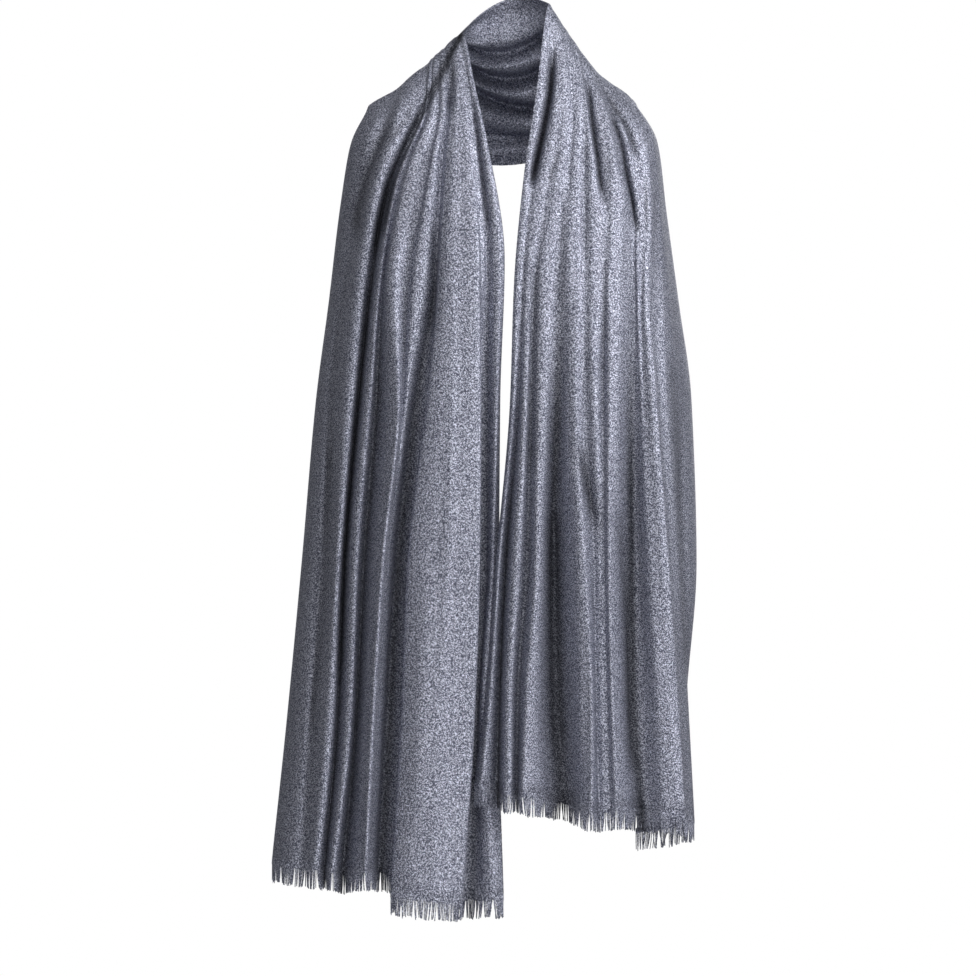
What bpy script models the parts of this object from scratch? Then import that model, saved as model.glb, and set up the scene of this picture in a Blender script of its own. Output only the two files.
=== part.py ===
"""Fringed pashmina shawl, worn over the shoulders of a general figure.

Blender 4.5, metres, +Z up. The origin is the nape point, on the inner face of the cloth at
centre back. The fronts hang towards -Y, the longer one on the -X side.
The cloth runs in three stretches: a front on each side and the length round the neck. Each is
a loft through level sections, and each section runs through the crests and valleys of the
folds, from the inner long edge of the cloth to its outer long edge.
"""
import math

import bmesh
import bpy
import numpy as np

# Driving sizes, millimetres
WALL = 1.3                 # thickness of the cloth
SEAM_GAP = 0.3             # clear space where two pieces meet
FRINGE_LENGTH = 20.0       # hem to the tips of the strands
FRINGE_BACKING = 3.0       # height of the strip that the strands are fused to
FRINGE_THICKNESS = 1.0     # thickness of the strip and its strands
FRINGE_GAP = 0.6           # clear space between the hem and that strip
FRINGE_STRANDS = 84        # strands at each end of the shawl
STRAND_UNEVEN = 1.6        # how far the tips differ in length
STRAND_SWAY = 0.7          # how far the tips stray forwards and backwards
LENGTH_WAVES = (2.4, 0.9)  # radians a strand of the two waves that make the tips uneven
SWAY_WAVE = 1.7            # radians a strand of the wave that makes them stray
COLUMNS_PER_FOLD = 3       # grid columns between a crest and the next valley
SHOULDER_ROUNDING = 4.0    # power of the curve that turns the front to the side of the arm
HEM_DROP_START = 0.55      # share of the front's length where the hem starts to step

# Back of the neck: where the cloth passes centre back, and how far its swag folds stand out
BACK_COLUMNS = 54
BACK_ROWS = 14
BACK_FADE = 0.34           # share of the way round over which the shoulder folds die out
BACK_TILT = 78.0           # degrees that the folds lean backwards at centre back
BACK_SPREAD = 0.5          # share of that lean that also pushes them sideways near the shoulders

MM = 0.001

# Sections from the shoulder line down to the hem. along: place on the cloth's length;
# inner_z, outer_z: height of the section's two ends; sag: how far its middle hangs below the
# straight line between them; front_y: depth of the chest side; outer_y: depth of the arm side;
# lift: degrees that folds stand upwards, not forwards; rows: grid rows to the next section
SECTION_COLUMNS = ("along", "inner_z", "outer_z", "sag", "front_y", "outer_y", "lift", "rows")
LEFT_SECTIONS = {
    "shoulder": (0, 11, -70, 6, -55, -45, 90, 4),
    "collar": (72, -49, -108, 5, -101, -45, 38, 2),
    "chest": (140, -108, -173, 0, -124, -45, 10, 3),
    "bust": (262, -238, -281, 0, -148, -52, 0, 3),
    "waist": (395, -389, -389, 0, -156, -70, 0, 3),
    "hip": (568, -562, -562, 0, -160, -86, 0, 2),
    "thigh": (740, -734, -734, 0, -162, -98, 0, 2),
    "hem": (925, -927, -888, 0, -164, -106, 0, 0),
}
RIGHT_SECTIONS = {
    "shoulder": (0, 40, -67, 13, -55, -45, 90, 4),
    "collar": (88, -54, -108, 5, -103, -45, 38, 2),
    "chest": (178, -151, -184, 0, -128, -45, 10, 3),
    "bust": (290, -265, -281, 0, -148, -54, 0, 3),
    "waist": (412, -389, -389, 0, -156, -72, 0, 3),
    "hip": (585, -562, -562, 0, -160, -92, 0, 2),
    "thigh": (735, -713, -713, 0, -163, -110, 0, 2),
    "hem": (832, -807, -844, 0, -165, -124, 0, 0),
}

# Folds from the inner edge to the outer one. x: place across the body at each section;
# depth: how far the fold stands out at the shoulder, bust, hip and hem; drop: how far the
# hem hangs below its straight line there
DEPTH_SECTIONS = ("shoulder", "bust", "hip", "hem")
LEFT_FOLDS = (
    # name                 x at each section                                  depth              drop
    ("inner edge", (-48.6, -35, -22, -3, -8, -9, -9, -4), (0, -2, -14, -15), 0),
    ("inner ridge", (-50.4, -37.5, -26, -11, -13, -17, -27, -18), (0.4, 2, -7, -8), 3),
    ("inner valley", (-52.3, -40.5, -30, -20, -23, -24, -33, -39), (0, -3.5, -17, -18), 6),
    ("under turn right", (-54.0, -43.5, -34, -25, -36, -42, -50, -58), (0, -1, -5, -5), 10),
    ("panel right edge", (-55.7, -46.5, -38, -29, -29, -30, -36, -49), (0.4, 2, 9, 7), 11),
    ("panel ridge", (-57.8, -49.5, -42, -33.5, -35, -41, -50, -58), (0.6, 6, 14, 12), 13),
    ("panel side", (-59.9, -52, -50, -49, -52, -56, -63, -71), (0.5, 6.5, 16, 15.5), 14),
    ("panel middle", (-62.1, -54.5, -57, -62, -65, -73, -83, -91), (0.6, 7, 17, 18), 15),
    ("panel left edge", (-64.2, -57, -62, -71, -85, -106, -114, -125), (0.2, 4, 8, 8), 16),
    ("under turn left", (-65.9, -60, -66, -74, -80, -96, -104, -113), (-0.4, -1, -6, -6), 4),
    ("big valley", (-68.0, -63, -71, -78, -97, -117, -127, -136), (-0.6, -8, -21, -22), -8),
    ("ridge b", (-70.7, -69, -80, -96, -107, -124, -134, -143), (0.4, 3, -8, -9), -8),
    ("soft valley", (-73.4, -74, -86, -109, -113, -130, -140, -149), (0, -3, 5, 5), -7),
    ("ridge a", (-76.7, -81, -103, -125, -121, -138, -149, -157), (0.8, 6, 9, 9), -6),
    ("valley c", (-79.4, -85, -113, -134, -140, -154, -163, -177), (0, -6, -14, -15), 1),
    ("ridge d", (-82.1, -89, -119, -140, -150, -164, -170, -188), (0.4, 0, 2, 4), 0),
    ("main valley", (-86.4, -94, -126, -148, -161, -176, -183, -197), (-1.2, -14, -14, -12), 0),
    ("ridge e", (-101.5, -116, -140, -159, -169, -181, -190, -205), (0.5, 3, 3, 0), 0),
    ("valley f", (-117.7, -136, -156, -176, -189, -194, -208, -219), (-2, -3, -6, -6), 1),
    ("ridge g", (-133.5, -152, -170, -184, -199, -208, -222, -237), (-0.5, -4, -6, -5), 2),
    ("outer edge", (-145.5, -167, -179, -192, -206, -221, -237, -253), (0, -12, -16, -14), 0),
    ("outer return", (-149.5, -166, -174, -184, -197, -213, -230, -249), (-1, -30, -30, -24), 0),
)
RIGHT_FOLDS = (
    ("inner edge", (45.4, 32, 18, 8, 4, -11, -23, -35), (0, 0, -4, -5), 0),
    ("inner ridge", (47.2, 37, 23, 12, 8, -7, -16, -24), (0.4, 2, 1, 2), -2),
    ("inner valley", (49.2, 45, 28, 17, 13, -1, -8, -10), (-0.4, 1, -9, -10), -1),
    ("ridge a", (51.8, 52, 36, 23, 19, 9, 1, 0), (0.4, 4, 9, 10), 2),
    ("shallow hollow", (54.5, 58, 46, 30, 26, 22, 12, 11), (0.4, 2, 0, 0), 0),
    ("ridge b", (57.2, 65, 55, 39, 37, 35, 26, 22), (0.4, 5, 10, 12), 1),
    ("wide valley", (60.5, 71, 65, 57, 54, 50, 52, 60), (0, 0, -14, -16), 1),
    ("ridge c", (64.3, 77, 73, 73, 70, 77, 86, 87), (0.6, 5, 10, 11), 7),
    ("soft valley", (68.6, 83, 84, 84, 83, 92, 95, 98), (0, 2, 5, 5), 7),
    ("ridge c2", (73.4, 87, 94, 95, 94, 99, 102, 105), (0.4, 4, 6.5, 6.5), 5),
    ("valley a", (78.8, 91, 105, 105, 104, 106, 109, 113), (-0.6, -1, 7.5, 7.5), 3),
    ("ridge d", (86.4, 103, 119, 114, 114, 114, 117, 123), (-1, 5, 10, 10), 0),
    ("broad valley", (97.2, 114, 134, 135, 133, 134, 136, 145), (-2, -3, -13, -14), -1),
    ("ridge bc", (105.8, 123, 139, 141, 144, 149, 156, 163), (-0.5, 1, -4, -4), -3),
    ("valley c", (113.9, 132, 145, 145, 149, 158, 166, 175), (1, 1, 4, 5), -3),
    ("ridge e", (121.0, 145, 154, 151, 159, 171, 181, 189), (2.5, 6, 12, 12), -3),
    ("narrow valley", (126.5, 152, 161, 160, 165, 178, 188, 195), (3, 4, 8, 9), -1),
    ("front fold", (130.5, 157, 166, 173, 177, 187, 195, 202), (2.5, 5, 1, 1), 0),
    ("tuck", (133.6, 160, 169, 179, 188, 184, 189, 194), (1.5, -3, -11, -10), 3),
    ("outer bulge", (136.4, 162, 172, 185, 199, 204, 192, 179), (0.5, -9, -20, -20), 6),
    ("outer return", (139.0, 161, 168, 178, 188, 189, 165, 139), (-1, -28, -42, -22), 12),
)

# Centre back, from the nape down to the outer edge. share: place across the cloth;
# y, z: the fall of the back; depth: how far the swag fold there stands out
SWAG_COLUMNS = ("share", "y", "z", "depth")
SWAG_FOLDS = {
    "nape edge": (0.00, 3, 45, 0),
    "collar roll": (0.08, 3, 26, 6),
    "first tuck": (0.17, 4, 1, -5),
    "second swag": (0.27, 9, -13, 10),
    "second tuck": (0.37, 15, -27, -8),
    "third swag": (0.47, 21, -42, 12),
    "third tuck": (0.57, 26, -57, -9),
    "fourth swag": (0.67, 30, -73, 11),
    "fourth tuck": (0.77, 33, -89, -8),
    "fifth swag": (0.86, 36, -105, 9),
    "last tuck": (0.94, 38, -120, -2),
    "outer edge": (1.00, 40, -134, 0),
}

# Finish of each piece: colour, roughness, metallic
CLOTH_FINISH = ((0.17, 0.175, 0.22), 0.55, 0.35)
FRINGE_FINISH = ((0.24, 0.245, 0.29), 0.5, 0.4)


def smooth_through(knots, values, places, level_start=False):
    """Curve through the values at rising knots, which turns level at each crest and valley."""
    knots = np.asarray(knots, float)
    values = np.asarray(values, float)
    places = np.asarray(places, float)
    step = np.diff(knots)
    shape = (-1,) + (1,) * (values.ndim - 1)
    rise = np.diff(values, axis=0) / step.reshape(shape)
    slope = np.zeros_like(values)
    slope[0] = 0.0 if level_start else rise[0]
    slope[-1] = rise[-1]
    before, after = rise[:-1], rise[1:]
    weight_before = (2 * step[1:] + step[:-1]).reshape(shape)
    weight_after = (step[1:] + 2 * step[:-1]).reshape(shape)
    same_way = before * after > 0
    safe_before = np.where(same_way, before, 1.0)
    safe_after = np.where(same_way, after, 1.0)
    mean = (weight_before + weight_after) / (weight_before / safe_before + weight_after / safe_after)
    slope[1:-1] = np.where(same_way, mean, 0.0)
    cell = np.clip(np.searchsorted(knots, places, side="right") - 1, 0, len(step) - 1)
    width = step[cell].reshape(shape)
    t = ((places - knots[cell]) / step[cell]).reshape(shape)
    rest = 1 - t
    return (values[cell] * (1 + 2 * t) * rest ** 2
            + slope[cell] * width * t * rest ** 2
            + values[cell + 1] * (3 - 2 * t) * t ** 2
            - slope[cell + 1] * width * rest * t ** 2)


def supple_through(values, places):
    """Curve of least bending through values that stand at the places 0, 1, 2 and so on."""
    values = np.asarray(values, float)
    count = len(values)
    stiffness = np.eye(count)
    pull = np.zeros_like(values)
    for number in range(1, count - 1):
        stiffness[number, number - 1:number + 2] = 1, 4, 1
        pull[number] = 6 * (values[number - 1] - 2 * values[number] + values[number + 1])
    bend = np.linalg.solve(stiffness, pull)
    cell = np.clip(places.astype(int), 0, count - 2)
    t = (places - cell)[:, None]
    rest = 1 - t
    return (values[cell] * rest + values[cell + 1] * t
            + bend[cell] * (rest ** 3 - rest) / 6 + bend[cell + 1] * (t ** 3 - t) / 6)


def grade(low, high, value):
    """0 below low, 1 above high, and a soft ramp between them."""
    t = np.clip((np.asarray(value, float) - low) / (high - low), 0.0, 1.0)
    return t * t * (3 - 2 * t)


def front_points(sections, folds, across, along):
    """Points of a hanging front, in metres, for places across its folds and along its length.

    across runs from 0, the inner edge, to 1, the outer edge; along runs in millimetres from
    the shoulder line. The result has one row of points for each place across.
    """
    table = np.array(list(sections.values()), float).T
    column = dict(zip(SECTION_COLUMNS, table))
    stops = column["along"]
    depth_stops = [sections[name][0] for name in DEPTH_SECTIONS]
    fold_x = smooth_through(stops, np.array([fold[1] for fold in folds], float).T, along)
    fold_depth = smooth_through(depth_stops, np.array([fold[2] for fold in folds], float).T, along)
    fold_number = np.asarray(across, float) * (len(folds) - 1)
    x = supple_through(fold_x.T, fold_number)
    depth = supple_through(fold_depth.T, fold_number)
    drop = smooth_through(np.arange(len(folds)), [fold[3] for fold in folds], fold_number)

    side = np.sign(fold_x[0, -1] - fold_x[0, 0])
    inner_x = x[0]
    far_x = side * np.max(side * x, axis=0)
    share = np.clip((x - inner_x) / (far_x - inner_x), 0.0, 1.0)
    share = np.maximum.accumulate(share, axis=0)

    def at(name, level_start=False):
        return smooth_through(stops, column[name], along, level_start)

    level = at("inner_z", True) + (at("outer_z", True) - at("inner_z", True)) * share
    level = level - at("sag") * 4 * share * (1 - share)
    level = level - drop[:, None] * grade(HEM_DROP_START, 1.0, along / stops[-1])
    turn = np.sqrt(1 - share ** SHOULDER_ROUNDING)
    base_y = at("outer_y") + (at("front_y") - at("outer_y")) * turn
    lift = np.radians(at("lift"))
    y = base_y - depth * np.cos(lift)
    z = level + depth * np.sin(lift)
    return np.stack([x, y, z], axis=-1) * MM


def back_points(across, around):
    """Points of the stretch round the neck, in metres.

    across runs from the inner edge to the outer one, around from the left shoulder line
    over the nape to the right one.
    """
    across = np.asarray(across, float)
    around = np.asarray(around, float)
    shoulder = np.zeros(1)
    left = front_points(LEFT_SECTIONS, LEFT_FOLDS, across, shoulder)[:, 0] / MM
    right = front_points(RIGHT_SECTIONS, RIGHT_FOLDS, across, shoulder)[:, 0] / MM
    column = dict(zip(SWAG_COLUMNS, np.array(list(SWAG_FOLDS.values()), float).T))
    centre_y = smooth_through(column["share"], column["y"], across)
    centre_z = smooth_through(column["share"], column["z"], across)
    swag = smooth_through(column["share"], column["depth"], across)

    turn = np.pi * around
    blend = (1 - np.cos(turn)) / 2
    bow = np.sin(turn)
    ends_y = left[:, None, 1] * (1 - blend) + right[:, None, 1] * blend
    ends_z = left[:, None, 2] * (1 - blend) + right[:, None, 2] * blend
    middle_z = (left[:, 2] + right[:, 2]) / 2
    x = left[:, None, 0] * (1 - blend) + right[:, None, 0] * blend
    y = ends_y + (centre_y - (left[:, 1] + right[:, 1]) / 2)[:, None] * bow
    z = ends_z + (centre_z - middle_z)[:, None] * bow ** 2
    from_end = np.minimum(around, 1 - around)
    stand_out = swag[:, None] * grade(0.0, BACK_FADE, from_end)
    lean = np.radians(BACK_TILT) * bow
    sideways = -np.cos(turn) * np.sin(lean)
    x = x + stand_out * sideways * BACK_SPREAD
    y = y + stand_out * np.sin(lean) * bow
    z = z + stand_out * np.cos(lean)
    return np.stack([x, y, z], axis=-1) * MM


def section_places(sections):
    """Grid rows along a front: an even run of rows between each section and the next."""
    table = list(sections.values())
    places = [0.0]
    for upper, lower in zip(table, table[1:]):
        rows = int(upper[-1])
        for number in range(1, rows + 1):
            places.append(upper[0] + (lower[0] - upper[0]) * number / rows)
    return np.array(places)


def make_material(name, finish):
    colour, roughness, metallic = finish
    material = bpy.data.materials.new(name)
    material.use_nodes = True
    shader = material.node_tree.nodes["Principled BSDF"]
    shader.inputs["Base Color"].default_value = (*colour, 1.0)
    shader.inputs["Roughness"].default_value = roughness
    shader.inputs["Metallic"].default_value = metallic
    return material


def make_sheet(name, points, outward, wall, collection, finish, empty_cells=()):
    """An open grid laid on the points, then given the wall of the cloth.

    points has a row for each grid column. outward says whether the grid's own normals
    already point to the outside. empty_cells names grid cells to leave out, as
    (column, row) pairs.
    """
    columns, rows = points.shape[0] - 1, points.shape[1] - 1
    bm = bmesh.new()
    bmesh.ops.create_grid(bm, x_segments=columns, y_segments=rows, size=0.5)
    if empty_cells:
        holes = set(empty_cells)
        unwanted = []
        for face in bm.faces:
            middle = face.calc_center_median()
            cell = (int((middle.x + 0.5) * columns), int((middle.y + 0.5) * rows))
            if cell in holes:
                unwanted.append(face)
        bmesh.ops.delete(bm, geom=unwanted, context="FACES")
    for vert in bm.verts:
        column = round((vert.co.x + 0.5) * columns)
        row = round((vert.co.y + 0.5) * rows)
        vert.co = points[column, row]
    if not outward:
        bmesh.ops.reverse_faces(bm, faces=bm.faces)
    mesh = bpy.data.meshes.new(name)
    bm.to_mesh(mesh)
    bm.free()
    mesh.shade_smooth()
    mesh.materials.append(make_material(name, finish))
    piece = bpy.data.objects.new(name, mesh)
    collection.objects.link(piece)
    solidify = piece.modifiers.new("wall", "SOLIDIFY")
    solidify.thickness = wall * MM
    solidify.offset = 1.0
    solidify.use_even_offset = False
    return piece


def front_places(folds):
    """Grid columns across a front: the same number between each fold and the next."""
    return np.linspace(0, 1, (len(folds) - 1) * COLUMNS_PER_FOLD + 1)


def make_front(name, sections, folds, outward, collection):
    points = front_points(sections, folds, front_places(folds), section_places(sections))
    points[:, 0, 1] -= SEAM_GAP / 2 * MM
    return make_sheet(name, points, outward, WALL, collection, CLOTH_FINISH)


def make_back(collection):
    across = np.linspace(0, 1, BACK_COLUMNS + 1)
    points = back_points(across, np.linspace(0, 1, BACK_ROWS + 1))
    points[:, 0, 1] += SEAM_GAP / 2 * MM
    points[:, -1, 1] += SEAM_GAP / 2 * MM
    return make_sheet("back_neck", points, True, WALL, collection, CLOTH_FINISH)


def even_places(line, places, count):
    """Places that part a line of points into stretches of equal length."""
    run = np.concatenate([[0], np.cumsum(np.linalg.norm(np.diff(line, axis=0), axis=1))])
    return np.interp(np.linspace(0, run[-1], count), run, places)


def make_fringe(name, sections, folds, outward, collection):
    """A backing strip just under the hem, with the strands hanging from its lower edge."""
    hem = np.array([sections["hem"][0]], float)
    hem_places = front_places(folds)
    hem_line = front_points(sections, folds, hem_places, hem)[:, 0]
    columns = 2 * FRINGE_STRANDS - 1
    across = even_places(hem_line, hem_places, columns + 1)
    top = np.stack([np.interp(across, hem_places, hem_line[:, axis]) for axis in range(3)], axis=-1)
    top[:, 2] -= FRINGE_GAP * MM
    root = top.copy()
    root[:, 2] -= FRINGE_BACKING * MM
    tip = top.copy()
    strand = np.arange(columns + 1) // 2
    uneven = np.sin(strand * LENGTH_WAVES[0]) * np.cos(strand * LENGTH_WAVES[1])
    tip[:, 2] -= (FRINGE_LENGTH + STRAND_UNEVEN * uneven) * MM
    tip[:, 1] -= STRAND_SWAY * np.sin(strand * SWAY_WAVE) * MM
    points = np.stack([top, root, tip], axis=1)
    gaps = [(column, 1) for column in range(1, columns, 2)]
    return make_sheet(name, points, outward, FRINGE_THICKNESS, collection, FRINGE_FINISH, gaps)


def main():
    for old in list(bpy.data.objects):
        bpy.data.objects.remove(old, do_unlink=True)
    shawl = bpy.data.collections.new("pashmina_shawl")
    bpy.context.scene.collection.children.link(shawl)
    make_front("front_left", LEFT_SECTIONS, LEFT_FOLDS, True, shawl)
    make_front("front_right", RIGHT_SECTIONS, RIGHT_FOLDS, False, shawl)
    make_back(shawl)
    make_fringe("fringe_left", LEFT_SECTIONS, LEFT_FOLDS, True, shawl)
    make_fringe("fringe_right", RIGHT_SECTIONS, RIGHT_FOLDS, False, shawl)


main()
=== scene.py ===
import math

import bmesh
import bpy
import numpy as np
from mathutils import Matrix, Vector


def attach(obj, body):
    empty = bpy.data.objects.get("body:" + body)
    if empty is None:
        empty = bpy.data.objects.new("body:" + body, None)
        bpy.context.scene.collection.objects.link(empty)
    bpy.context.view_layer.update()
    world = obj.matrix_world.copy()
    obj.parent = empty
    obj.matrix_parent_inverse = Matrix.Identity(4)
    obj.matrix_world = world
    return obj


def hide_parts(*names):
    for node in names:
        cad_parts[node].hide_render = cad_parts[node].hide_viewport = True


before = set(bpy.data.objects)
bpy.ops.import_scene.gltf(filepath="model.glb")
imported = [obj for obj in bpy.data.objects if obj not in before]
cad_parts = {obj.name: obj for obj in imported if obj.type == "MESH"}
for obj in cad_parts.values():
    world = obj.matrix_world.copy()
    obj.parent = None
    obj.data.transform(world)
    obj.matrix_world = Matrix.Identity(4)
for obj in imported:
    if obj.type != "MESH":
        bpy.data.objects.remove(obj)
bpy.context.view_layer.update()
mm = 0.001

# Camera, at the height and side of the photograph
cameraView = {
    "target": (-0.0205, -0.15, -0.484),
    "distance": 36.0,
    "fieldWidth": 1.054,      # metres across the picture at the target
    "sensor": 36.0,
}


def addCamera(view):
    data = bpy.data.cameras.new("camera")
    data.sensor_width = view["sensor"]
    data.lens = view["sensor"] * view["distance"] / view["fieldWidth"]
    camera = bpy.data.objects.new("camera", data)
    x, y, z = view["target"]
    camera.location = (x, y - view["distance"], z)
    camera.rotation_euler = (math.radians(90), 0, 0)
    bpy.context.collection.objects.link(camera)
    bpy.context.scene.camera = camera


addCamera(cameraView)
print("camera placed")


# Curves and ramps that the cloth is drawn with
def levelCurve(knots, values, places, levelStart=False):
    # through the values, level at each crest and valley
    knots = np.asarray(knots, float)
    values = np.asarray(values, float)
    places = np.asarray(places, float)
    gap = np.diff(knots)
    shape = (-1,) + (1,) * (values.ndim - 1)
    rise = np.diff(values, axis=0) / gap.reshape(shape)
    slope = np.zeros_like(values)
    slope[0] = 0.0 if levelStart else rise[0]
    slope[-1] = rise[-1]
    before, after = rise[:-1], rise[1:]
    weightBefore = (2 * gap[1:] + gap[:-1]).reshape(shape)
    weightAfter = (gap[1:] + 2 * gap[:-1]).reshape(shape)
    sameWay = before * after > 0
    safeBefore = np.where(sameWay, before, 1.0)
    safeAfter = np.where(sameWay, after, 1.0)
    mean = (weightBefore + weightAfter) / (weightBefore / safeBefore + weightAfter / safeAfter)
    slope[1:-1] = np.where(sameWay, mean, 0.0)
    cell = np.clip(np.searchsorted(knots, places, side="right") - 1, 0, len(gap) - 1)
    width = gap[cell].reshape(shape)
    t = ((places - knots[cell]) / gap[cell]).reshape(shape)
    rest = 1 - t
    return (values[cell] * (1 + 2 * t) * rest ** 2 + slope[cell] * width * t * rest ** 2
            + values[cell + 1] * (3 - 2 * t) * t ** 2 - slope[cell + 1] * width * rest * t ** 2)


def suppleCurve(values, places):
    # least bending through values at 0, 1, 2 and so on
    values = np.asarray(values, float)
    count = len(values)
    stiffness = np.eye(count)
    pull = np.zeros_like(values)
    for number in range(1, count - 1):
        stiffness[number, number - 1:number + 2] = 1, 4, 1
        pull[number] = 6 * (values[number - 1] - 2 * values[number] + values[number + 1])
    bend = np.linalg.solve(stiffness, pull)
    cell = np.clip(places.astype(int), 0, count - 2)
    t = (places - cell)[:, None]
    rest = 1 - t
    return (values[cell] * rest + values[cell + 1] * t
            + bend[cell] * (rest ** 3 - rest) / 6 + bend[cell + 1] * (t ** 3 - t) / 6)


def softStep(low, high, value):
    t = np.clip((np.asarray(value, float) - low) / (high - low), 0.0, 1.0)
    return t * t * (3 - 2 * t)


# Sections of each front from the shoulder line to the hem, millimetres. inner, outer: height
# of the two ends; sag: hang of the middle; front, side: depth at the chest and at the arm
sectionColumns = ("along", "inner", "outer", "sag", "front", "side", "lift")
leftSections = {
    "shoulder": (0, 11, -70, 6, -55, -45, 90),
    "collar": (72, -49, -108, 5, -101, -45, 38),
    "chest": (140, -108, -173, 0, -124, -45, 10),
    "bust": (262, -238, -281, 0, -148, -52, 0),
    "waist": (395, -389, -389, 0, -156, -70, 0),
    "hip": (568, -562, -562, 0, -160, -86, 0),
    "thigh": (740, -734, -734, 0, -162, -98, 0),
    "hem": (925, -927, -888, 0, -164, -106, 0),
}
rightSections = {
    "shoulder": (0, 40, -67, 13, -55, -45, 90),
    "collar": (88, -54, -108, 5, -103, -45, 38),
    "chest": (178, -151, -184, 0, -128, -45, 10),
    "bust": (290, -265, -281, 0, -148, -54, 0),
    "waist": (412, -389, -389, 0, -156, -72, 0),
    "hip": (585, -562, -562, 0, -160, -92, 0),
    "thigh": (735, -713, -713, 0, -163, -110, 0),
    "hem": (832, -807, -844, 0, -165, -124, 0),
}

# Folds from the inner edge to the outer one: x at each section, depth at four of them, and
# how far the hem hangs below its straight line there
depthSections = ("shoulder", "bust", "hip", "hem")
leftFolds = (
    ("inner edge", (-48.6, -35, -22, -3, -8, -9, -9, -4), (0, -2, -14, -15), 0),
    ("inner ridge", (-50.4, -37.5, -26, -11, -13, -17, -27, -18), (0.4, 2, -7, -8), 3),
    ("inner valley", (-52.3, -40.5, -30, -20, -23, -24, -33, -39), (0, -3.5, -17, -18), 6),
    ("under turn right", (-54.0, -43.5, -34, -25, -36, -42, -50, -58), (0, -1, -5, -5), 10),
    ("panel right edge", (-55.7, -46.5, -38, -29, -29, -30, -36, -49), (0.4, 2, 9, 7), 11),
    ("panel ridge", (-57.8, -49.5, -42, -33.5, -35, -41, -50, -58), (0.6, 6, 14, 12), 13),
    ("panel side", (-59.9, -52, -50, -49, -52, -56, -63, -71), (0.5, 6.5, 16, 15.5), 14),
    ("panel middle", (-62.1, -54.5, -57, -62, -65, -73, -83, -91), (0.6, 7, 17, 18), 15),
    ("panel left edge", (-64.2, -57, -62, -71, -85, -106, -114, -125), (0.2, 4, 8, 8), 16),
    ("under turn left", (-65.9, -60, -66, -74, -80, -96, -104, -113), (-0.4, -1, -6, -6), 4),
    ("big valley", (-68.0, -63, -71, -78, -97, -117, -127, -136), (-0.6, -8, -21, -22), -8),
    ("ridge b", (-70.7, -69, -80, -96, -107, -124, -134, -143), (0.4, 3, -8, -9), -8),
    ("soft valley", (-73.4, -74, -86, -109, -113, -130, -140, -149), (0, -3, 5, 5), -7),
    ("ridge a", (-76.7, -81, -103, -125, -121, -138, -149, -157), (0.8, 6, 9, 9), -6),
    ("valley c", (-79.4, -85, -113, -134, -140, -154, -163, -177), (0, -6, -14, -15), 1),
    ("ridge d", (-82.1, -89, -119, -140, -150, -164, -170, -188), (0.4, 0, 2, 4), 0),
    ("main valley", (-86.4, -94, -126, -148, -161, -176, -183, -197), (-1.2, -14, -14, -12), 0),
    ("ridge e", (-101.5, -116, -140, -159, -169, -181, -190, -205), (0.5, 3, 3, 0), 0),
    ("valley f", (-117.7, -136, -156, -176, -189, -194, -208, -219), (-2, -3, -6, -6), 1),
    ("ridge g", (-133.5, -152, -170, -184, -199, -208, -222, -237), (-0.5, -4, -6, -5), 2),
    ("outer edge", (-145.5, -167, -179, -192, -206, -221, -237, -253), (0, -12, -16, -14), 0),
    ("outer return", (-149.5, -166, -174, -184, -197, -213, -230, -249), (-1, -30, -30, -24), 0),
)
rightFolds = (
    ("inner edge", (45.4, 32, 18, 8, 4, -11, -23, -35), (0, 0, -4, -5), 0),
    ("inner ridge", (47.2, 37, 23, 12, 8, -7, -16, -24), (0.4, 2, 1, 2), -2),
    ("inner valley", (49.2, 45, 28, 17, 13, -1, -8, -10), (-0.4, 1, -9, -10), -1),
    ("ridge a", (51.8, 52, 36, 23, 19, 9, 1, 0), (0.4, 4, 9, 10), 2),
    ("shallow hollow", (54.5, 58, 46, 30, 26, 22, 12, 11), (0.4, 2, 0, 0), 0),
    ("ridge b", (57.2, 65, 55, 39, 37, 35, 26, 22), (0.4, 5, 10, 12), 1),
    ("wide valley", (60.5, 71, 65, 57, 54, 50, 52, 60), (0, 0, -14, -16), 1),
    ("ridge c", (64.3, 77, 73, 73, 70, 77, 86, 87), (0.6, 5, 10, 11), 7),
    ("soft valley", (68.6, 83, 84, 84, 83, 92, 95, 98), (0, 2, 5, 5), 7),
    ("ridge c2", (73.4, 87, 94, 95, 94, 99, 102, 105), (0.4, 4, 6.5, 6.5), 5),
    ("valley a", (78.8, 91, 105, 105, 104, 106, 109, 113), (-0.6, -1, 7.5, 7.5), 3),
    ("ridge d", (86.4, 103, 119, 114, 114, 114, 117, 123), (-1, 5, 10, 10), 0),
    ("broad valley", (97.2, 114, 134, 135, 133, 134, 136, 145), (-2, -3, -13, -14), -1),
    ("ridge bc", (105.8, 123, 139, 141, 144, 149, 156, 163), (-0.5, 1, -4, -4), -3),
    ("valley c", (113.9, 132, 145, 145, 149, 158, 166, 175), (1, 1, 4, 5), -3),
    ("ridge e", (121.0, 145, 154, 151, 159, 171, 181, 189), (2.5, 6, 12, 12), -3),
    ("narrow valley", (126.5, 152, 161, 160, 165, 178, 188, 195), (3, 4, 8, 9), -1),
    ("front fold", (130.5, 157, 166, 173, 177, 187, 195, 202), (2.5, 5, 1, 1), 0),
    ("tuck", (133.6, 160, 169, 179, 188, 184, 189, 194), (1.5, -3, -11, -10), 3),
    ("outer bulge", (136.4, 162, 172, 185, 199, 204, 192, 179), (0.5, -9, -20, -20), 6),
    ("outer return", (139.0, 161, 168, 178, 188, 189, 165, 139), (-1, -28, -42, -22), 12),
)

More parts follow.
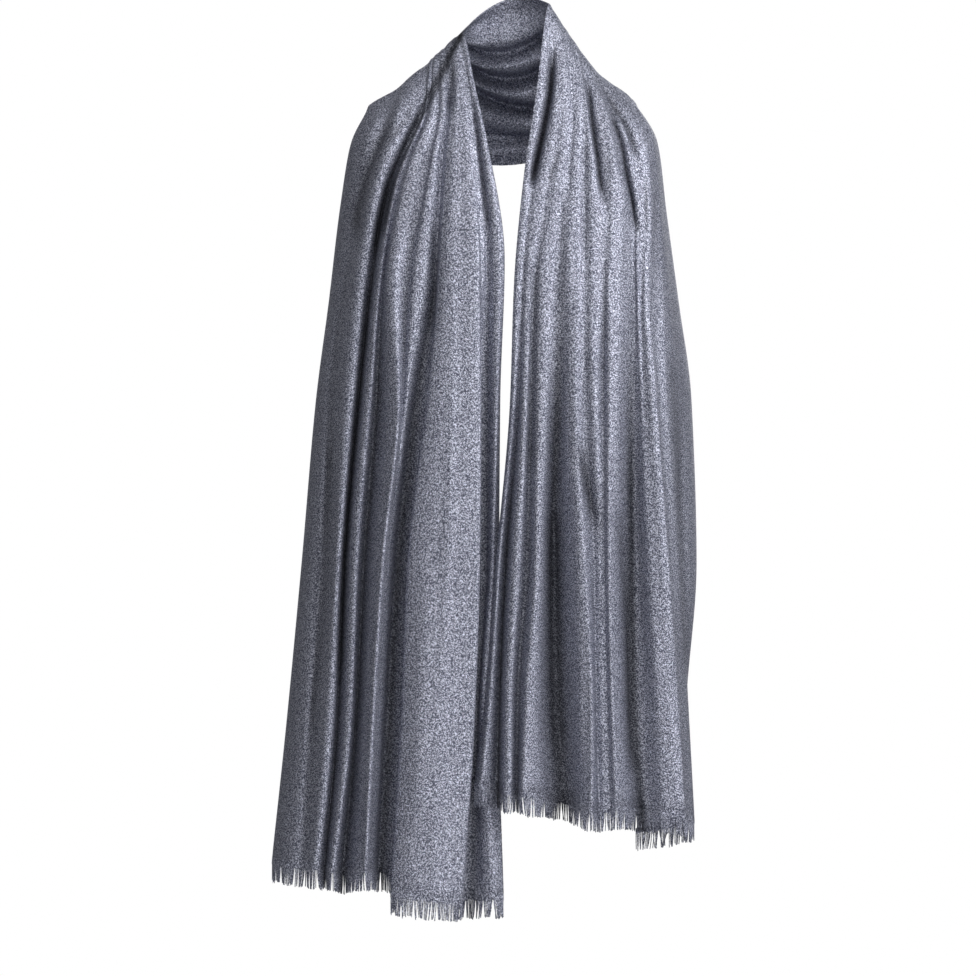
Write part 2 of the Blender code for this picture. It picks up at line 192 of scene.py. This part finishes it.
# Centre back from the nape to the outer edge: share of the width, depth, height, swag
swagFolds = (
    (0.00, 3, 45, 0),
    (0.08, 3, 26, 6),
    (0.17, 4, 1, -5),
    (0.27, 9, -13, 10),
    (0.37, 15, -27, -8),
    (0.47, 21, -42, 12),
    (0.57, 26, -57, -9),
    (0.67, 30, -73, 11),
    (0.77, 33, -89, -8),
    (0.86, 36, -105, 9),
    (0.94, 38, -120, -2),
    (1.00, 40, -134, 0),
)

# Creases of the longer front, as seen from the front: half width, depth, then (x, z) points
leftCreases = (
    ("outer twin crease", 2.8, -5.5, (
        (-20, 60), (-40, 26), (-55, 0), (-68, -22), (-80, -46), (-93, -71), (-103, -91),
        (-113, -115), (-122, -136), (-129, -154), (-138, -193), (-145, -240))),
    ("inner twin crease", 2.6, -4.6, (
        (-20, 56), (-40, 22), (-56, -6), (-68, -32), (-78, -53), (-86, -71), (-94, -82), (-100, -96),
        (-107, -115), (-114, -133), (-122, -154), (-130, -192), (-136, -225))),
    ("neck crease, inner", 3.5, -3.2, ((-56, -14), (-58.6, -27), (-60, -55), (-63, -86))),
    ("inner strip crease", 3.0, -3.0, ((-38, -56), (-32, -97), (-26, -151), (-21, -190), (-18, -222))),
    ("main valley", 5.0, -2.2, ((-122, -136), (-134, -180), (-142, -220), (-147, -262), (-155, -340))),
    ("main valley, low", 5.0, -2.2, ((-150, -300), (-157, -356), (-166, -440), (-176, -562), (-182, -700))),
    ("main ridge", 6.0, 2.0, ((-100, -62), (-116, -92), (-134, -140), (-146, -190), (-153, -240))),
    ("shoulder crease", 7.0, -4.0, (
        (-124, -76), (-131, -96), (-142, -120), (-151, -142), (-162, -187), (-165, -226))),
    ("short crease", 3.0, -2.6, ((-99, -62), (-113, -92), (-124, -106), (-134, -118))),
    ("shoulder ridge", 6.0, 2.6, ((-107, -54), (-118, -81), (-129, -103))),
    ("upper arm ridge", 6.0, 2.0, ((-119, -50), (-137, -78), (-152, -120), (-158, -160))),
    ("chest hollow", 8.0, -2.0, ((-84, -104), (-95, -140), (-105, -174), (-110, -230))),
    ("bust crease", 6.0, -2.0, ((-80, -185), (-79, -230), (-78, -270), (-84, -330))),
    ("low panel swell", 14.0, 1.8, ((-84, -560), (-88, -650), (-92, -760), (-96, -850))),
    ("hip crease", 5.0, -2.0, ((-190, -420), (-198, -520), (-206, -640), (-214, -760))),
    ("outer swell", 8.0, 1.6, ((-196, -300), (-203, -400), (-212, -520), (-224, -700))),
)
rightCreases = (
    ("inner roll valley", 4.4, -11.0, (
        (51, 5), (49, -24), (47, -52), (42, -82), (36, -112), (30, -140), (25, -170))),
    ("neck ridge", 7.0, 1.4, ((62, -6), (60, -40), (56, -80), (49, -125), (42, -165))),
    ("soft valley", 4.0, -2.0, ((83, -96), (84, -150), (84, -205), (83, -245))),
    ("chest crease", 3.2, -5.5, (
        (79, -28), (87, -45), (90, -60), (92, -82), (95, -105), (98, -125),
        (100, -146), (102, -160), (108, -184))),
    ("shoulder crease", 3.0, -5.0, (
        (104, -60), (113, -72), (116, -86), (122, -103), (126, -120), (128, -136),
        (131, -153), (135, -169), (138, -187), (143, -225))),
    ("arm crease", 3.0, -4.5, (
        (96, -37), (110, -58), (115, -67), (122, -79), (128, -90), (133, -103), (136, -112), (142, -140))),
    ("side line", 2.6, -1.8, ((148, -138), (149, -155), (150, -188), (151, -225))),
    ("arm ridge", 8.0, 3.0, ((154, -100), (155, -150), (155, -218))),
    ("shoulder ridge", 4.5, 3.0, ((92, -42), (103, -66), (110, -90), (115, -124), (120, -168))),
    ("slanting crease", 6.0, -4.0, ((75, -425), (84, -475), (94, -512), (101, -544))),
    ("slanting ridge", 6.0, 3.0, ((92, -310), (95, -390), (98, -466), (104, -500))),
    ("chest catch", 3.5, -2.4, ((58, -117), (50, -136), (41, -157))),
    ("chest swell, inner", 5.5, 2.8, ((63, -140), (65, -190), (65, -240), (62, -300))),
    ("chest swell, outer", 5.0, 2.8, ((101, -160), (104, -220), (105, -280), (105, -330))),
    ("waist hollow", 8.0, -2.0, ((30, -230), (29, -300), (30, -390), (28, -480))),
    ("hip hollow", 8.0, -2.0, ((51, -500), (52, -600), (53, -690), (57, -780))),
    ("low ridge", 6.0, 2.6, ((73, -455), (77, -560), (79, -660), (80, -790))),
    ("low trough", 5.0, -2.6, ((120, -500), (127, -620), (131, -700), (133, -800))),
    ("thigh swell", 8.0, 1.8, ((146, -420), (152, -520), (158, -620), (165, -740))),
    ("side crease", 5.0, -2.0, ((176, -330), (183, -430), (190, -560), (193, -690))),
)

# Small creases of the stretch round the neck: share across, start and end of the way round
# from the longer front, half width as a share across, depth
backCreases = (
    (0.12, 0.14, 0.52, 0.024, -1.6),
    (0.31, 0.10, 0.44, 0.022, -2.0),
    (0.36, 0.50, 0.90, 0.026, -2.4),
    (0.52, 0.16, 0.50, 0.024, -2.2),
    (0.58, 0.50, 0.88, 0.028, 1.8),
    (0.71, 0.24, 0.66, 0.026, -2.0),
    (0.83, 0.44, 0.86, 0.024, -2.3),
)

# Lengths here are in millimetres, unless a note says otherwise
clothLook = {
    "flat": (0.45, 2.0),      # metres: cloth along the longer front's hem, and end to end
    "wall": 0.9,
    "columns": 228,
    "leftRows": 92,
    "backRows": 34,
    "rightRows": 83,
    "rowBunching": 0.55,      # 0 spreads a front's rows evenly, 1 gathers them at the shoulder
    "arcShare": 0.65,         # 0 spreads columns by fold, 1 by length of cloth
    "arcSamples": 1201,
    "shoulderRounding": 4.0,  # power of the curve that turns the front to the side of the arm
    "hemDropStart": 0.55,     # share of the front's length where the hem starts to step
    "fullness": 0.12,         # how far a crest's flanks fill out
    "flankAt": 0.36,          # in folds from the crest
    "flankWidth": 0.2,        # in folds
    "valleyPaintedShadeAt": 14.0,         # depth of valley at which its painted shade is full
    "valleyPaintedShadeWidth": 0.36,      # width of a valley's painted shade, in folds
    "valleyPaintedShadeFrom": (110, 340),  # down the front, the stretch over which the painted shade of its valleys grows
    "creasePaintedShadeAt": 6.0,    # depth of small crease at which its painted shade is full
    "taperShare": 0.3,        # most of a crease's length over which each end fades
    "taperLength": 34,        # the same as a length
    "creaseAtShoulder": 0.35,  # share of its depth that a crease has at the shoulder line
    "creaseFullAt": 60,       # below the shoulder line
    "unevenness": 0.35,
    "wavesFullAt": 110,       # below the shoulder line
    "waveCount": 14,
    "waveAcross": (0.04, 0.15),    # radians a millimetre
    "waveAlong": (-0.025, 0.025),
    "ragged": 2.6,            # how unevenly the weave ends
    "backFade": 0.34,         # share of the way round over which the swags grow
    "backTilt": 78.0,         # degrees that they lean backwards at centre back
    "backSpread": 0.5,        # share of that lean that pushes them sideways near the shoulders
    "backTaper": 0.35,        # share of a back crease over which each end fades
    "backDrift": 0.02,        # share of the width that a back crease strays
    "driftWaves": (9, 20),    # radians round the neck, and by the crease's place across
    "neckPaintedShadeFade": 0.35,        # share of the way round over which the fronts' painted shade fades
}
waveSeed = np.random.default_rng(11)
waveAcross = waveSeed.uniform(*clothLook["waveAcross"], clothLook["waveCount"])
waveAlong = waveSeed.uniform(*clothLook["waveAlong"], clothLook["waveCount"])
wavePhase = waveSeed.uniform(0, 2 * math.pi, clothLook["waveCount"])


def creaseDepth(creases, x, z, look):
    # height of the creases at front-view places, and a mask of painted shade along their troughs
    total = np.zeros_like(x)
    hollow = np.zeros_like(x)
    for crease in creases:
        halfWidth, depth = crease[1:3]
        path = np.array(crease[3], float)
        step = np.linalg.norm(np.diff(path, axis=0), axis=1)
        run = np.concatenate([[0], np.cumsum(step)])
        nearest = np.full_like(x, np.inf)
        place = np.zeros_like(x)
        for number, length in enumerate(step):
            start = path[number]
            way = (path[number + 1] - start) / length
            along = np.clip((x - start[0]) * way[0] + (z - start[1]) * way[1], 0, length)
            distance = np.hypot(x - start[0] - along * way[0], z - start[1] - along * way[1])
            closer = distance < nearest
            nearest = np.where(closer, distance, nearest)
            place = np.where(closer, (run[number] + along) / run[-1], place)
        taper = min(look["taperShare"], look["taperLength"] / run[-1])
        fade = softStep(0, taper, place) * softStep(0, taper, 1 - place)
        bump = fade * np.exp(-(nearest / halfWidth) ** 2)
        total += depth * bump
        hollow += min(max(-depth / look["creasePaintedShadeAt"], 0), 1) * bump
    return total, hollow


def gentleWaves(x, z, height):
    total = np.zeros_like(x)
    for across, along, phase in zip(waveAcross, waveAlong, wavePhase):
        total += np.sin(x * across + z * along + phase)
    return total * height / math.sqrt(len(wavePhase))


def foldShape(foldDepth, foldNumber, look):
    # fills out each crest, and gives each valley a mask of painted shade by how deep it lies beside its
    # neighbours
    total = np.zeros((len(foldNumber), foldDepth.shape[1]))
    hollow = np.zeros_like(total)
    for number in range(1, len(foldDepth) - 1):
        rise = (foldDepth[number - 1] + foldDepth[number + 1]) / 2 - foldDepth[number]
        away = foldNumber - number
        flank = np.exp(-((np.abs(away) - look["flankAt"]) / look["flankWidth"]) ** 2)[:, None]
        total += look["fullness"] * np.maximum(-rise, 0) * flank
        within = np.exp(-(away / look["valleyPaintedShadeWidth"]) ** 2)[:, None]
        hollow += np.clip(rise / look["valleyPaintedShadeAt"], 0, 1) * within
    return total, hollow


def frontPoints(sections, folds, creases, across, along, look):
    # millimetre points, one row for each place across, and the painted shade at each
    table = dict(zip(sectionColumns, np.array(list(sections.values()), float).T))
    stops = table["along"]
    depthStops = [sections[name][0] for name in depthSections]
    foldX = levelCurve(stops, np.array([fold[1] for fold in folds], float).T, along)
    foldDepth = levelCurve(depthStops, np.array([fold[2] for fold in folds], float).T, along)
    foldNumber = across * (len(folds) - 1)
    x = suppleCurve(foldX.T, foldNumber)
    depth = suppleCurve(foldDepth.T, foldNumber)
    shaping, hollow = foldShape(foldDepth.T, foldNumber, look)
    depth = depth + shaping
    drop = levelCurve(np.arange(len(folds)), [fold[3] for fold in folds], foldNumber)
    side = np.sign(foldX[0, -1] - foldX[0, 0])
    innerX = x[0]
    farX = side * np.max(side * x, axis=0)
    share = np.maximum.accumulate(np.clip((x - innerX) / (farX - innerX), 0, 1), axis=0)

    inner = levelCurve(stops, table["inner"], along, True)
    outer = levelCurve(stops, table["outer"], along)
    level = inner + (outer - inner) * share
    level = level - levelCurve(stops, table["sag"], along) * 4 * share * (1 - share)
    level = level - drop[:, None] * softStep(look["hemDropStart"], 1, along / stops[-1])
    turn = np.sqrt(1 - share ** look["shoulderRounding"])
    sideY = levelCurve(stops, table["side"], along)
    baseY = sideY + (levelCurve(stops, table["front"], along) - sideY) * turn
    lift = np.radians(levelCurve(stops, table["lift"], along))
    pressed, pressedPaintedShade = creaseDepth(creases, x, level, look)
    atShoulder = look["creaseAtShoulder"]
    depth = depth + pressed * (atShoulder + (1 - atShoulder) * softStep(0, look["creaseFullAt"], along))
    # painted shade: the valleys' and creases' mask that darkens the base colour
    hollow = np.clip(hollow * softStep(*look["valleyPaintedShadeFrom"], along) + pressedPaintedShade, 0, 1)
    settled = softStep(0, look["wavesFullAt"], along)
    depth = depth + gentleWaves(x, level, look["unevenness"]) * settled
    points = np.stack([x, baseY - depth * np.cos(lift), level + depth * np.sin(lift)], axis=-1)
    return points, hollow


def backPoints(left, right, across, around, look):
    # left and right are the two shoulder lines
    swag = np.array(swagFolds, float).T
    centreY = levelCurve(swag[0], swag[1], across)
    centreZ = levelCurve(swag[0], swag[2], across)
    standing = levelCurve(swag[0], swag[3], across)[:, None]
    turn = math.pi * around
    blend = (1 - np.cos(turn)) / 2
    bow = np.sin(turn)
    points = left[:, None] * (1 - blend)[:, None] + right[:, None] * blend[:, None]
    middle = (left + right) / 2
    points[:, :, 1] += (centreY - middle[:, 1])[:, None] * bow
    points[:, :, 2] += (centreZ - middle[:, 2])[:, None] * bow ** 2
    out = standing * softStep(0, look["backFade"], np.minimum(around, 1 - around))
    waveRound, waveApart = look["driftWaves"]
    for place, start, end, halfWidth, depth in backCreases:
        way = (around - start) / (end - start)
        fade = softStep(0, look["backTaper"], way) * softStep(0, look["backTaper"], 1 - way)
        drift = place + look["backDrift"] * np.sin(around * waveRound + place * waveApart)
        out = out + depth * fade * np.exp(-((across[:, None] - drift) / halfWidth) ** 2)
    lean = math.radians(look["backTilt"]) * bow
    points[:, :, 0] -= out * np.cos(turn) * np.sin(lean) * look["backSpread"]
    points[:, :, 1] += out * np.sin(lean) * bow
    points[:, :, 2] += out * np.cos(lean)
    return points


def runLength(line):
    return np.concatenate([[0], np.cumsum(np.linalg.norm(np.diff(line, axis=0), axis=1))])


def clothColumns(look):
    # places across, closer together where the folds use up more cloth
    fine = np.linspace(0, 1, look["arcSamples"])
    hip = np.array([leftSections["hip"][0]], float)
    leftRun = runLength(frontPoints(leftSections, leftFolds, (), fine, hip, look)[0][:, 0])
    rightRun = runLength(frontPoints(rightSections, rightFolds, (), fine, hip, look)[0][:, 0])
    arc = (leftRun / leftRun[-1] + rightRun / rightRun[-1]) / 2
    spread = look["arcShare"] * arc + (1 - look["arcShare"]) * fine
    return np.interp(np.linspace(0, 1, look["columns"] + 1), spread, fine)


def rowPlaces(length, rows, bunching):
    # closer together near the shoulder, where the creases are finest
    t = np.linspace(0, 1, rows + 1)
    return length * ((1 - bunching) * t + bunching * t ** 2)


def addMesh(name, points, hollow, outward, wall, removed=None):
    # a grid of quads on the points, with the painted shade of valleys and creases as an attribute
    columns, rows = points.shape[0] - 1, points.shape[1] - 1
    bm = bmesh.new()
    bmesh.ops.create_grid(bm, x_segments=columns, y_segments=rows, size=0.5)
    if removed is not None:
        unwanted = []
        for face in bm.faces:
            middle = face.calc_center_median()
            if removed[int((middle.x + 0.5) * columns), int((middle.y + 0.5) * rows)]:
                unwanted.append(face)
        bmesh.ops.delete(bm, geom=unwanted, context="FACES")
    # the hollow attribute holds painted shade, which the material uses to darken the colour
    shade = bm.verts.layers.float.new("hollow")
    for vert in bm.verts:
        column = round((vert.co.x + 0.5) * columns)
        row = round((vert.co.y + 0.5) * rows)
        vert.co = points[column, row] * mm
        vert[shade] = float(hollow[column, row])
    if not outward:
        bmesh.ops.reverse_faces(bm, faces=bm.faces)
    mesh = bpy.data.meshes.new(name)
    bm.to_mesh(mesh)
    bm.free()
    mesh.shade_smooth()
    piece = bpy.data.objects.new(name, mesh)
    bpy.context.collection.objects.link(piece)
    solidify = piece.modifiers.new("wall", "SOLIDIFY")
    solidify.thickness = wall * mm
    solidify.offset = 1.0
    return piece


clothPlaces = clothColumns(clothLook)
leftAlong = rowPlaces(leftSections["hem"][0], clothLook["leftRows"], clothLook["rowBunching"])
rightAlong = rowPlaces(rightSections["hem"][0], clothLook["rightRows"], clothLook["rowBunching"])
leftPoints, leftPaintedShade = frontPoints(
    leftSections, leftFolds, leftCreases, clothPlaces, leftAlong, clothLook)
leftPoints, leftPaintedShade = leftPoints[:, ::-1], leftPaintedShade[:, ::-1]
rightPoints, rightPaintedShade = frontPoints(
    rightSections, rightFolds, rightCreases, clothPlaces, rightAlong, clothLook)
raggedSeed = np.random.default_rng(21)
leftPoints[:, 0, 2] -= raggedSeed.uniform(0, clothLook["ragged"], len(clothPlaces))
rightPoints[:, -1, 2] -= raggedSeed.uniform(0, clothLook["ragged"], len(clothPlaces))
backAround = np.linspace(0, 1, clothLook["backRows"] + 1)
neckPoints = backPoints(leftPoints[:, -1], rightPoints[:, 0], clothPlaces, backAround, clothLook)
# the fronts' painted shade fades out round the neck
neckPaintedShade = (leftPaintedShade[:, -1:] * softStep(clothLook["neckPaintedShadeFade"], 0, backAround)
              + rightPaintedShade[:, :1] * softStep(1 - clothLook["neckPaintedShadeFade"], 1, backAround))
clothPoints = np.concatenate([leftPoints, neckPoints[:, 1:-1], rightPoints], axis=1)
clothPaintedShade = np.concatenate([leftPaintedShade, neckPaintedShade[:, 1:-1], rightPaintedShade], axis=1)
shawlCloth = addMesh("shawl_cloth", clothPoints, clothPaintedShade, False, clothLook["wall"])
print("cloth laid", clothPoints.shape)


# Fringe: threads that leave the cloth just above its hem. Lengths are in millimetres
fringeLook = {
    "threads": 320,
    "rows": 7,                # straight lengths that a thread bends in
    "samples": 1601,
    "width": 0.86,            # of the space from thread to thread
    "taper": 0.25,            # share of the width that is lost at the tip
    "wall": 0.55,
    "length": 20.5,
    "uneven": 1.7,            # how far the lengths differ
    "lockUneven": 0.6,        # share of that by which a whole lock differs
    "rootRise": 3.0,          # above the hem
    "rootUneven": 2.2,
    "standOff": 0.42,         # brings the roots just over the outer face
    "sway": 0.9,              # forwards and backwards at the tip
    "looseness": 1.6,         # power of the curve by which a thread strays towards its tip
    "lean": 1.6,              # sideways at the tip, times the next two
    "threadLean": 0.5,
    "lockLean": 0.8,
    "curl": 0.22,
    "curlTurn": 5,            # radians from root to tip
    "curlStart": 6.28,        # radians over which the curls start
    "clump": 5.0,             # threads in a lock
    "clumpUneven": (0.5, 1.6),
    "gather": 0.35,           # how far a lock's tips come together
    "gatherUneven": (0.2, 1.0),
}


def addFringe(name, sections, folds, creases, outward, seed):
    look = fringeLook
    random = np.random.default_rng(seed)
    fine = np.linspace(0, 1, look["samples"])
    hem = np.array([sections["hem"][0]], float)
    line, linePaintedShade = frontPoints(sections, folds, creases, fine, hem, clothLook)
    line, linePaintedShade = line[:, 0], linePaintedShade[:, 0]
    run = runLength(line)
    threads = look["threads"]
    thread = np.arange(2 * threads) // 2
    pitch = run[-1] / threads
    centre = (thread + 0.5) * pitch
    edges = centre + np.tile([-0.5, 0.5], threads) * pitch * look["width"]
    lockStart = np.cumsum(random.uniform(*look["clumpUneven"], threads))
    lock = (lockStart / look["clump"]).astype(int)
    locks = lock[-1] + 1
    lockCentre = np.zeros(threads)
    for number in range(locks):
        members = lock == number
        if members.any():
            lockCentre[members] = centre[0::2][members].mean()
    gather = look["gather"] * random.uniform(*look["gatherUneven"], locks)[lock]
    lean = random.normal(0, look["threadLean"], threads)
    lean += random.normal(0, look["lockLean"], locks)[lock]
    length = look["length"] + random.normal(0, look["uneven"] / 2, threads)
    length += look["uneven"] * random.uniform(-look["lockUneven"], look["lockUneven"], locks)[lock]
    depth = random.normal(0, look["sway"], threads)
    curlStart = random.uniform(0, look["curlStart"], threads)
    rise = look["rootRise"] + random.uniform(-1, 1, threads) * look["rootUneven"]
    rows = look["rows"]
    points = np.zeros((2 * threads, rows + 1, 3))
    hollow = np.zeros((2 * threads, rows + 1))
    for row in range(rows + 1):
        down = row / rows
        loose = down ** look["looseness"]
        middle = centre + (lockCentre - centre[0::2])[thread] * gather[thread] * loose
        middle += lean[thread] * loose * look["lean"]
        middle += look["curl"] * np.sin(curlStart[thread] + down * look["curlTurn"]) * loose
        width = (edges - centre) * (1 - look["taper"] * down)
        place = np.clip(middle + width, 0, run[-1])
        for axis in range(3):
            points[:, row, axis] = np.interp(place, run, line[:, axis])
        # painted shade: each thread carries the hem's darkening from valleys and creases
        hollow[:, row] = np.interp(place, run, linePaintedShade)
        points[:, row, 2] += rise[thread] - (rise + length)[thread] * down
        points[:, row, 1] -= look["standOff"] + depth[thread] * loose
    removed = np.zeros((2 * threads - 1, rows), bool)
    removed[1::2] = True
    return addMesh(name, points, hollow, outward, look["wall"], removed)


fringeLeft = addFringe("fringe_threads_left", leftSections, leftFolds, leftCreases, True, 5)
fringeRight = addFringe("fringe_threads_right", rightSections, rightFolds, rightCreases, False, 8)
print("fringes laid")


# Materials
def addNode(tree, kind, values=None, **settings):
    node = tree.nodes.new(kind)
    for key, value in settings.items():
        setattr(node, key, value)
    for key, value in (values or {}).items():
        if hasattr(value, "is_output"):
            tree.links.new(value, node.inputs[key])
        else:
            node.inputs[key].default_value = value
    return node


strokeLook = {
    "lean": 45,               # degrees, both ways
    "stretch": (0.36, 0.8, 1.0),  # along a stroke, through the cloth, across the stroke
    "patchScale": 170.0,      # fineness of the patches that lean one way
    "patchEdge": (0.42, 0.58),
    "strokeEdge": (0.44, 0.65),
}


def strokeGroup(look):
    # short strokes that lean both ways, from 0 to 1
    group = bpy.data.node_groups.new("metalThreads", "ShaderNodeTree")
    group.interface.new_socket("Vector", in_out="INPUT", socket_type="NodeSocketVector")
    group.interface.new_socket("Scale", in_out="INPUT", socket_type="NodeSocketFloat")
    group.interface.new_socket("Strokes", in_out="OUTPUT", socket_type="NodeSocketFloat")
    source = addNode(group, "NodeGroupInput")
    leaning = []
    for angle in (look["lean"], -look["lean"]):
        turned = addNode(group, "ShaderNodeVectorRotate", {
            "Vector": source.outputs["Vector"], "Axis": (0, 1, 0), "Angle": math.radians(angle)})
        long = addNode(group, "ShaderNodeVectorMath", {
            0: turned.outputs[0], 1: look["stretch"]}, operation="MULTIPLY")
        noise = addNode(group, "ShaderNodeTexNoise", {
            "Vector": long.outputs[0], "Scale": source.outputs["Scale"],
            "Detail": 1.0, "Roughness": 0.5})
        leaning.append(noise.outputs["Fac"])
    patch = addNode(group, "ShaderNodeTexNoise", {
        "Vector": source.outputs["Vector"], "Scale": look["patchScale"], "Detail": 0.0})
    choice = addNode(group, "ShaderNodeMapRange", {
        "Value": patch.outputs["Fac"],
        "From Min": look["patchEdge"][0], "From Max": look["patchEdge"][1]})
    mixed = addNode(group, "ShaderNodeMix", {
        0: choice.outputs[0], 2: leaning[0], 3: leaning[1]}, data_type="FLOAT")
    sharp = addNode(group, "ShaderNodeMapRange", {
        "Value": mixed.outputs[0],
        "From Min": look["strokeEdge"][0], "From Max": look["strokeEdge"][1]},
        interpolation_type="SMOOTHSTEP")
    end = addNode(group, "NodeGroupOutput")
    group.links.new(sharp.outputs[0], end.inputs["Strokes"])
    return group


strokes = strokeGroup(strokeLook)
clothMaterial = {
    "dark": (0.102, 0.109, 0.152, 1),     # between the strokes
    "light": (0.735, 0.755, 0.88, 1),
    "metallic": 0.85,
    "roughness": (0.68, 0.54),            # between the strokes, and on them
    "paintedShadeStrength": 0.8,                   # share of the base colour that full painted shade takes away in valleys and creases
    "scale": 1380.0,                      # fineness of the strokes
    "bump": 0.4,
    "relief": 0.0003,                     # metres
}
fringeMaterial = {**clothMaterial, "roughness": (0.64, 0.50)}


def addMaterial(name, look):
    material = bpy.data.materials.new(name)
    material.use_nodes = True
    tree = material.node_tree
    shader = tree.nodes["Principled BSDF"]
    place = addNode(tree, "ShaderNodeTexCoord")
    threads = addNode(tree, "ShaderNodeGroup", node_tree=strokes)
    threads.inputs["Scale"].default_value = look["scale"]
    tree.links.new(place.outputs["Object"], threads.inputs["Vector"])
    mask = threads.outputs["Strokes"]
    colour = addNode(tree, "ShaderNodeMix", {
        0: mask, 6: look["dark"], 7: look["light"]}, data_type="RGBA")
    # painted shade: the hollow attribute darkens the base colour in valleys and creases
    hollow = addNode(tree, "ShaderNodeAttribute", attribute_name="hollow")
    shade = addNode(tree, "ShaderNodeMapRange", {
        "Value": hollow.outputs["Fac"], "To Min": 1.0, "To Max": 1 - look["paintedShadeStrength"]})
    shaded = addNode(tree, "ShaderNodeVectorMath", {0: colour.outputs[2]}, operation="SCALE")
    tree.links.new(shade.outputs[0], shaded.inputs["Scale"])
    rough = addNode(tree, "ShaderNodeMapRange", {
        "Value": mask, "To Min": look["roughness"][0], "To Max": look["roughness"][1]})
    bump = addNode(tree, "ShaderNodeBump", {
        "Strength": look["bump"], "Distance": look["relief"], "Height": mask})
    shader.inputs["Metallic"].default_value = look["metallic"]
    tree.links.new(shaded.outputs[0], shader.inputs["Base Color"])
    tree.links.new(rough.outputs[0], shader.inputs["Roughness"])
    tree.links.new(bump.outputs[0], shader.inputs["Normal"])
    return material


shawlCloth.data.materials.append(addMaterial("metallic weave", clothMaterial))
fringeMetal = addMaterial("fringe threads", fringeMaterial)
for fringe in (fringeLeft, fringeRight):
    fringe.data.materials.append(fringeMetal)
print("materials set")


# Studio: near-white behind the object, dimmer for what it reflects
studio = {
    "backdrop": 1.0,
    "surround": 0.14,
    "lights": (               # name, place, size in metres, watts
        ("key", (0.5, -2.4, 0.6), 1.4, 11.0),
        ("low", (0.1, -1.5, -1.5), 0.8, 10.0),
        ("fill", (-1.4, -3.3, 0.2), 2.2, 3.0),
        ("side", (2.2, -1.3, 0.8), 1.6, 60.0),
        ("left", (-0.9, -0.7, 1.2), 1.0, 5.0),
        ("top", (-0.4, -1.6, 2.0), 1.8, 15.0),
        ("back", (0.4, 3.2, 0.6), 2.4, 50.0),
    ),
    "aim": (-0.02, -0.12, -0.45),
    "floorRadius": 1.2,
    "floorHeight": -1.45,
    "floorSides": 96,
    "floorColour": (0.8, 0.8, 0.8, 1),
}


def addStudio(look):
    world = bpy.data.worlds.new("studio")
    bpy.context.scene.world = world
    world.use_nodes = True
    tree = world.node_tree
    ray = addNode(tree, "ShaderNodeLightPath")
    level = addNode(tree, "ShaderNodeMapRange", {
        "Value": ray.outputs["Is Camera Ray"], "To Min": look["surround"], "To Max": look["backdrop"]})
    tree.links.new(level.outputs[0], tree.nodes["Background"].inputs["Strength"])
    tree.nodes["Background"].inputs["Color"].default_value = (1, 1, 1, 1)
    aim = Vector(look["aim"])
    for name, place, size, power in look["lights"]:
        data = bpy.data.lights.new(name, "AREA")
        data.size = size
        data.energy = power
        lamp = bpy.data.objects.new(name, data)
        lamp.location = place
        lamp.rotation_euler = (aim - Vector(place)).to_track_quat("-Z", "Y").to_euler()
        bpy.context.collection.objects.link(lamp)
    bm = bmesh.new()
    bmesh.ops.create_circle(
        bm, cap_ends=True, radius=look["floorRadius"], segments=look["floorSides"])
    bmesh.ops.translate(bm, verts=bm.verts, vec=(0, 0, look["floorHeight"]))
    mesh = bpy.data.meshes.new("floor")
    bm.to_mesh(mesh)
    bm.free()
    floor = bpy.data.objects.new("floor", mesh)
    bpy.context.collection.objects.link(floor)
    pale = bpy.data.materials.new("pale floor")
    pale.use_nodes = True
    pale.node_tree.nodes["Principled BSDF"].inputs["Base Color"].default_value = look["floorColour"]
    mesh.materials.append(pale)


addStudio(studio)
bpy.context.scene.view_settings.view_transform = "Standard"
print("studio set")

# Frame
for piece, slot in ((shawlCloth, "cloth"), (fringeLeft, "fringe"), (fringeRight, "fringe")):
    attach(piece, "root")
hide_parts("front_left", "front_right", "back_neck")
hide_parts("fringe_left")
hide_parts("fringe_right")
